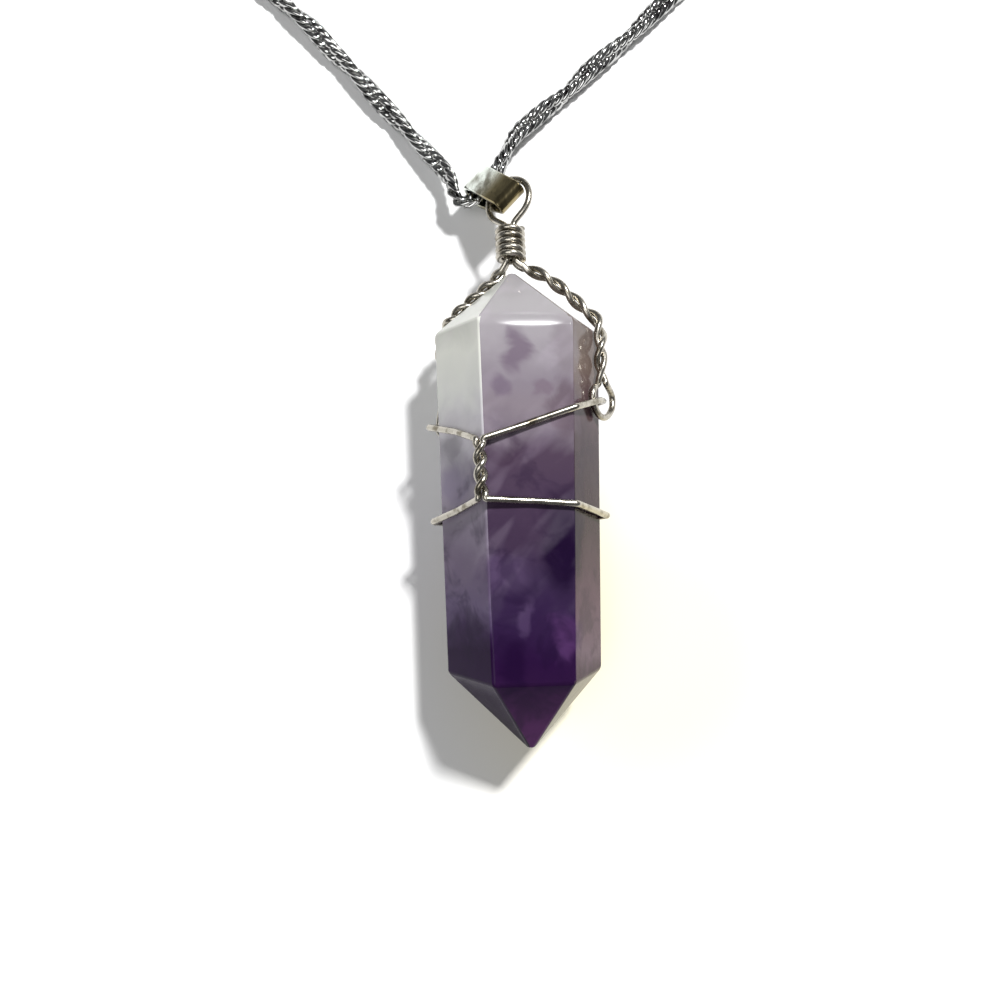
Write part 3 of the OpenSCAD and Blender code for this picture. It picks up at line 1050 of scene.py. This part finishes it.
# Where the chain runs, in millimetres: X and Y, then the share of the bail's height, which is 0 where it
# isn't given, and the share of the full width, which is 1
CHAIN_ROUTE = (
    (-4.4, 105.3), (-18.5, 102.8), (-31.5, 97), (-43.5, 89), (-53.5, 79), (-61, 67), (-65.5, 53.5),
    (-67.5, 39.5), (-66.5, 25.5), (-62.5, 12), (-56, -0.5), (-47, -11.5), (-38.5, -20.5), (-31, -28.5),
    (-25, -34.8), (-21, -38.5), (-19, -40.8), (-16.5, -43.3), (-14.2, -46), (-11.6, -48.8, 0.05),
    (-9.2, -51.6, 0.25, 0.76), (-7.45, -53.8, 0.6, 0.6), (-6.75, -55.5, 0.9, 0.5), (-6.2, -56.5, 1, 0.5),
    (-5.5, -56.8, 1, 0.5), (-4.85, -56.55, 1, 0.5), (-3.8, -55.45, 1, 0.5), (-2.85, -54.35, 1, 0.5),
    (-2.3, -53.2, 0.9, 0.55), (-1.5, -51.5, 0.6, 0.64), (-0.5, -49.5, 0.25, 0.76), (1.7, -47.4, 0.05),
    (4.1, -45.4), (6.6, -42.9), (10, -40), (14.2, -35.9), (20.5, -31), (28, -25), (36, -18.5), (44.5, -11),
    (54.5, -1.5), (62, 10), (66, 23), (67.5, 37.5), (66, 51.5), (62, 65), (54.5, 77), (45, 87.5), (34, 96),
    (20.5, 102.3), (4.4, 105.3))


@dataclass
class Chain:
    """The twisted curb chain: one link shape, set again and again along the route.

    Its links are drawn longer than their pitch, so that they look as dense as the real ones, which sit
    inside each other. A link's size is least + most times the route's share of the full width.
    """

    width: float = 0.002
    link_wire_w: float = 0.0008
    link_wire_t: float = 0.00045
    link_half_l: float = 0.0012
    link_half_w: float = 0.00058
    square: float = 0.8
    curb: float = -150.0
    pitch: float = 0.0008
    half_turn: float = 0.0085
    least: float = 0.74
    most: float = 0.25
    around: int = 20
    sides: int = 6
    steps: int = 24

    def link(self) -> Object:
        """Makes one link: a curbed oval of flattened wire, with the chain's own twist.

        Returns:
            The link, which no frame node stands for.
        """
        middle = []
        for k in range(self.around):
            along, across = (copysign(abs(f) ** self.square, f) for f in (
                cos(tau * k / self.around), sin(tau * k / self.around)))
            tilt = radians(self.curb / 2) * along
            across *= self.link_half_w
            middle.append(Vector((self.link_half_l * along, across * cos(tilt), across * sin(tilt))))
        points = []
        for k, centre in enumerate(middle):
            way = (middle[(k + 1) % self.around] - middle[k - 1]).normalized()
            out = (centre - (centre @ way) * way).normalized()
            side = way.cross(out)
            for j in range(self.sides):
                a = tau * (j + 0.5) / self.sides
                across, deep = cos(a) * self.link_wire_w / 2, sin(a) * self.link_wire_t / 2
                x, y, z = centre + out * across + side * deep
                c, s = cos(pi * x / self.half_turn), sin(pi * x / self.half_turn)
                points.append(Vector((x, y * c - z * s, y * s + z * c)))
        made = object_of("link", points, faces=ring_faces(self.around, self.sides))
        face_outwards(made)
        return made

    def build(self, flat_at: Vector, tree: Tree, finish: Material) -> Object:
        """Sets the links along the chain.

        Args:
            flat_at: Where the chain runs through the bail, with its flat side up.
            tree: The tree that sets the links.
            finish: Their metal.

        Returns:
            The finished piece.
        """
        low, rows = self.width / 2, []
        for x, y, *rest in CHAIN_ROUTE:
            share, wide = [*rest, *(0, 1)[len(rest):]]
            rows.append(Vector((x / 1000, y / 1000, low + (flat_at.z - low) * share, wide)))
        places = spread_rows(smooth(rows, self.steps), self.pitch)
        line = [p.to_3d() for p in places]
        level = min(range(len(line)), key=lambda i: (line[i] - flat_at).length)
        turns = []
        for i, way in enumerate(ways(line)):
            angle = pi * (i - level) * self.pitch / self.half_turn
            side = Vector((0, 0, 1)).cross(way).normalized()
            across = side * cos(angle) + way.cross(side) * sin(angle)
            turns.append(Matrix((way, across, way.cross(across))).transposed().to_euler())
        made = object_of("chain_look", line)
        for name, kind, part, values in (
                ("turn", "FLOAT_VECTOR", "vector", [angle for turn in turns for angle in turn]),
                ("size", "FLOAT", "value", [self.least + self.most * p[3] for p in places])):
            made.data.attributes.new(name, kind, "POINT").data.foreach_set(part, values)
        link = self.link()
        grow(made, tree, {"Link": link, "Finish": finish})
        bpy.data.objects.remove(link)
        log.info("chain: %d links", len(line))
        return finished(made, ("chain",))


def spread_rows(rows: list[Vector], gap: float) -> list[Vector]:
    """Rows at equal distances along a route whose fourth value rides along.

    Args:
        rows: The route, with four values a row.
        gap: The distance from one to the next.

    Returns:
        The new rows.
    """
    far = lengths([row.to_3d() for row in rows])
    count, made, i = round(far[-1] / gap), [], 0
    for k in range(count + 1):
        want = far[-1] * k / count
        while i < len(far) - 2 and far[i + 1] < want:
            i += 1
        made.append(rows[i].lerp(rows[i + 1], (want - far[i]) / (far[i + 1] - far[i])))
    return made


@dataclass
class Clasp:
    """The ring clasp and the two end rings."""

    at: tuple[float, float] = (0.0, 0.1053)
    ring_d: float = 0.0036
    ring_wire_d: float = 0.0005
    clasp_d: float = 0.006
    clasp_wire_d: float = 0.0011
    gap: float = 0.00006
    trim: float = 0.000004
    steps: int = 56

    def build(self, tree: Tree, finish: Material) -> list[Object]:
        """Makes the clasp, which lies, and the end rings, which stand across Y.

        Args:
            tree: The tree for round wires.
            finish: Their metal.

        Returns:
            The three finished pieces.
        """
        big, small = (self.clasp_d - self.clasp_wire_d) / 2, (self.ring_d - self.ring_wire_d) / 2
        height, made = self.ring_wire_d + self.gap + self.clasp_wire_d / 2, []
        for name, aside, rise, radius, thick, across in (
                ("clasp", 0, height, big, self.clasp_wire_d, (0, 1, 0)),
                ("end_ring_left", -big, self.ring_d / 2, small, self.ring_wire_d, (0, 0, 1)),
                ("end_ring_right", big, self.ring_d / 2, small, self.ring_wire_d, (0, 0, 1))):
            wire = Wire(thick, trim=self.trim, tree=tree, finish=finish)
            centre, circle = Vector((self.at[0] + aside, self.at[1], rise)), []
            for a in (tau * k / self.steps for k in range(self.steps)):
                circle.append(centre + radius * (Vector((cos(a), 0, 0)) + Vector(across) * sin(a)))
            made.append(wire.piece(name, circle, closed=True, slot="chain"))
        return made


# The studio


@dataclass
class Studio:
    """The surface, the lights and the camera.

    A lamp's row holds its name, its place from what the camera looks at, its side and its power.
    """

    look: Triple = (-0.00225, -0.0859, 0.0067)
    elevation: float = 86.0
    distance: float = 0.0986
    view_angle: float = 49.5
    lamps: tuple[tuple[str, Triple, float, float], ...] = (
        ("key", (0.157, 0.247, 0.385), 0.052, 3.4), ("fill", (-0.45, -0.3, 1.35), 0.9, 7.6))
    floor_half: float = 2.0
    room: Colour = (0.95, 0.97, 1.0, 1.0)
    room_light: float = 0.12

    def build(self) -> None:
        """Makes the surface, the lights, the world and the camera."""
        corners = [Vector((x, y, 0)) * self.floor_half for x, y in ((-1, -1), (1, -1), (1, 1), (-1, 1))]
        floor = object_of("surface", corners, faces=[(0, 1, 2, 3)])
        floor.data.materials.append(PaperFinish().material())
        for name, place, size, power in self.lamps:
            data = bpy.data.lights.new(name, "AREA")
            data.size, data.energy = size, power
            lamp = shown(name, data)
            lamp.location = Vector(self.look) + Vector(place)
            lamp.rotation_euler = (-Vector(place)).to_track_quat("-Z", "Y").to_euler()
        world = bpy.data.worlds.new("soft_room")
        world.use_nodes = True
        light = world.node_tree.nodes["Background"]
        feed(world.node_tree, light, {"Color": self.room, "Strength": self.room_light})
        bpy.context.scene.world = world
        data = bpy.data.cameras.new("camera")
        data.angle = radians(self.view_angle)
        data.clip_start, data.clip_end = 0.001, 10.0
        camera = shown("camera", data)
        lean = radians(90 - self.elevation)
        camera.location = Vector(self.look) + self.distance * Vector((0, -sin(lean), cos(lean)))
        camera.rotation_euler = (lean, 0, 0)
        bpy.context.scene.camera = camera
        bpy.context.scene.view_settings.view_transform = "Standard"


def main() -> None:
    """Builds every part in order."""
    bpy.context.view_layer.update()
    wear = wear_group()
    silver = MetalFinish("bright_wire", srgb(180, 175, 164), srgb(98, 90, 72), 0.8, 0.27).material(wear)
    # the bail's bright tone is partly painted highlight at its round end, and its olive far tone is painted
    # dark reflection
    strip = MetalFinish("bail_strip", srgb(222, 228, 220), srgb(74, 64, 40), 0.75, 0.16, 700.0,
                        scratch_stretch=(1.0, 0.25, 1.0), scratch_turn=(0, 0, 43),
                        far=(srgb(150, 138, 104), (0.73, -0.68, 0.0), 0.0346, 0.0366)).material(wear)
    steel = MetalFinish("twisted_links", srgb(192, 192, 190), srgb(60, 60, 60), 0.85, 0.12).material(wear)
    tubes = tube_tree()
    wire = Wire(tree=tubes, finish=silver)
    crystal = Crystal()
    neck = Neck(crystal, wire)
    bail = Bail()
    bail.settle(crystal, wire, neck)
    band = Band(crystal, wire)
    crystal.build(StoneFinish())
    band.build()
    Hanger(Side.RIGHT, neck, band, 7, (
        (0.1, 0.00095, 0.0001), (0.28, 0.00135, 0.0003), (0.43, 0.0013, 0.0005), (0.57, 0.0012, 0.0006),
        (0.77, 0.00085, 0.0008), (0.93, 0.00055, 0.00105)),
        ((0.25, 0.0046, 0.00012), (0.25, 0.0031, 0.00004), (0.22, 0.00135, 0.0001))).build()
    Hanger(Side.LEFT, neck, band, 9, (
        (0.13, 0.00045, -0.0007), (0.3, 0.0004, -0.0012), (0.5, 0.00035, -0.0015), (0.7, 0.0003, -0.0018),
        (0.88, -0.0001, -0.00295)),
        ((-2.6, 0.0073, 0.0001), (-2.55, 0.0056, 0.00008), (-2.5, 0.0036, 0.0001),
         (-2.5, 0.0018, wire.over / 2))).build()
    neck.build()
    bail.build(strip)
    Chain().build(bail.at, link_tree(), steel)
    Clasp().build(tubes, steel)
    Studio().build()


if __name__ == "__main__":
    logging.basicConfig(level=logging.INFO, format="%(name)s: %(message)s")
    main()
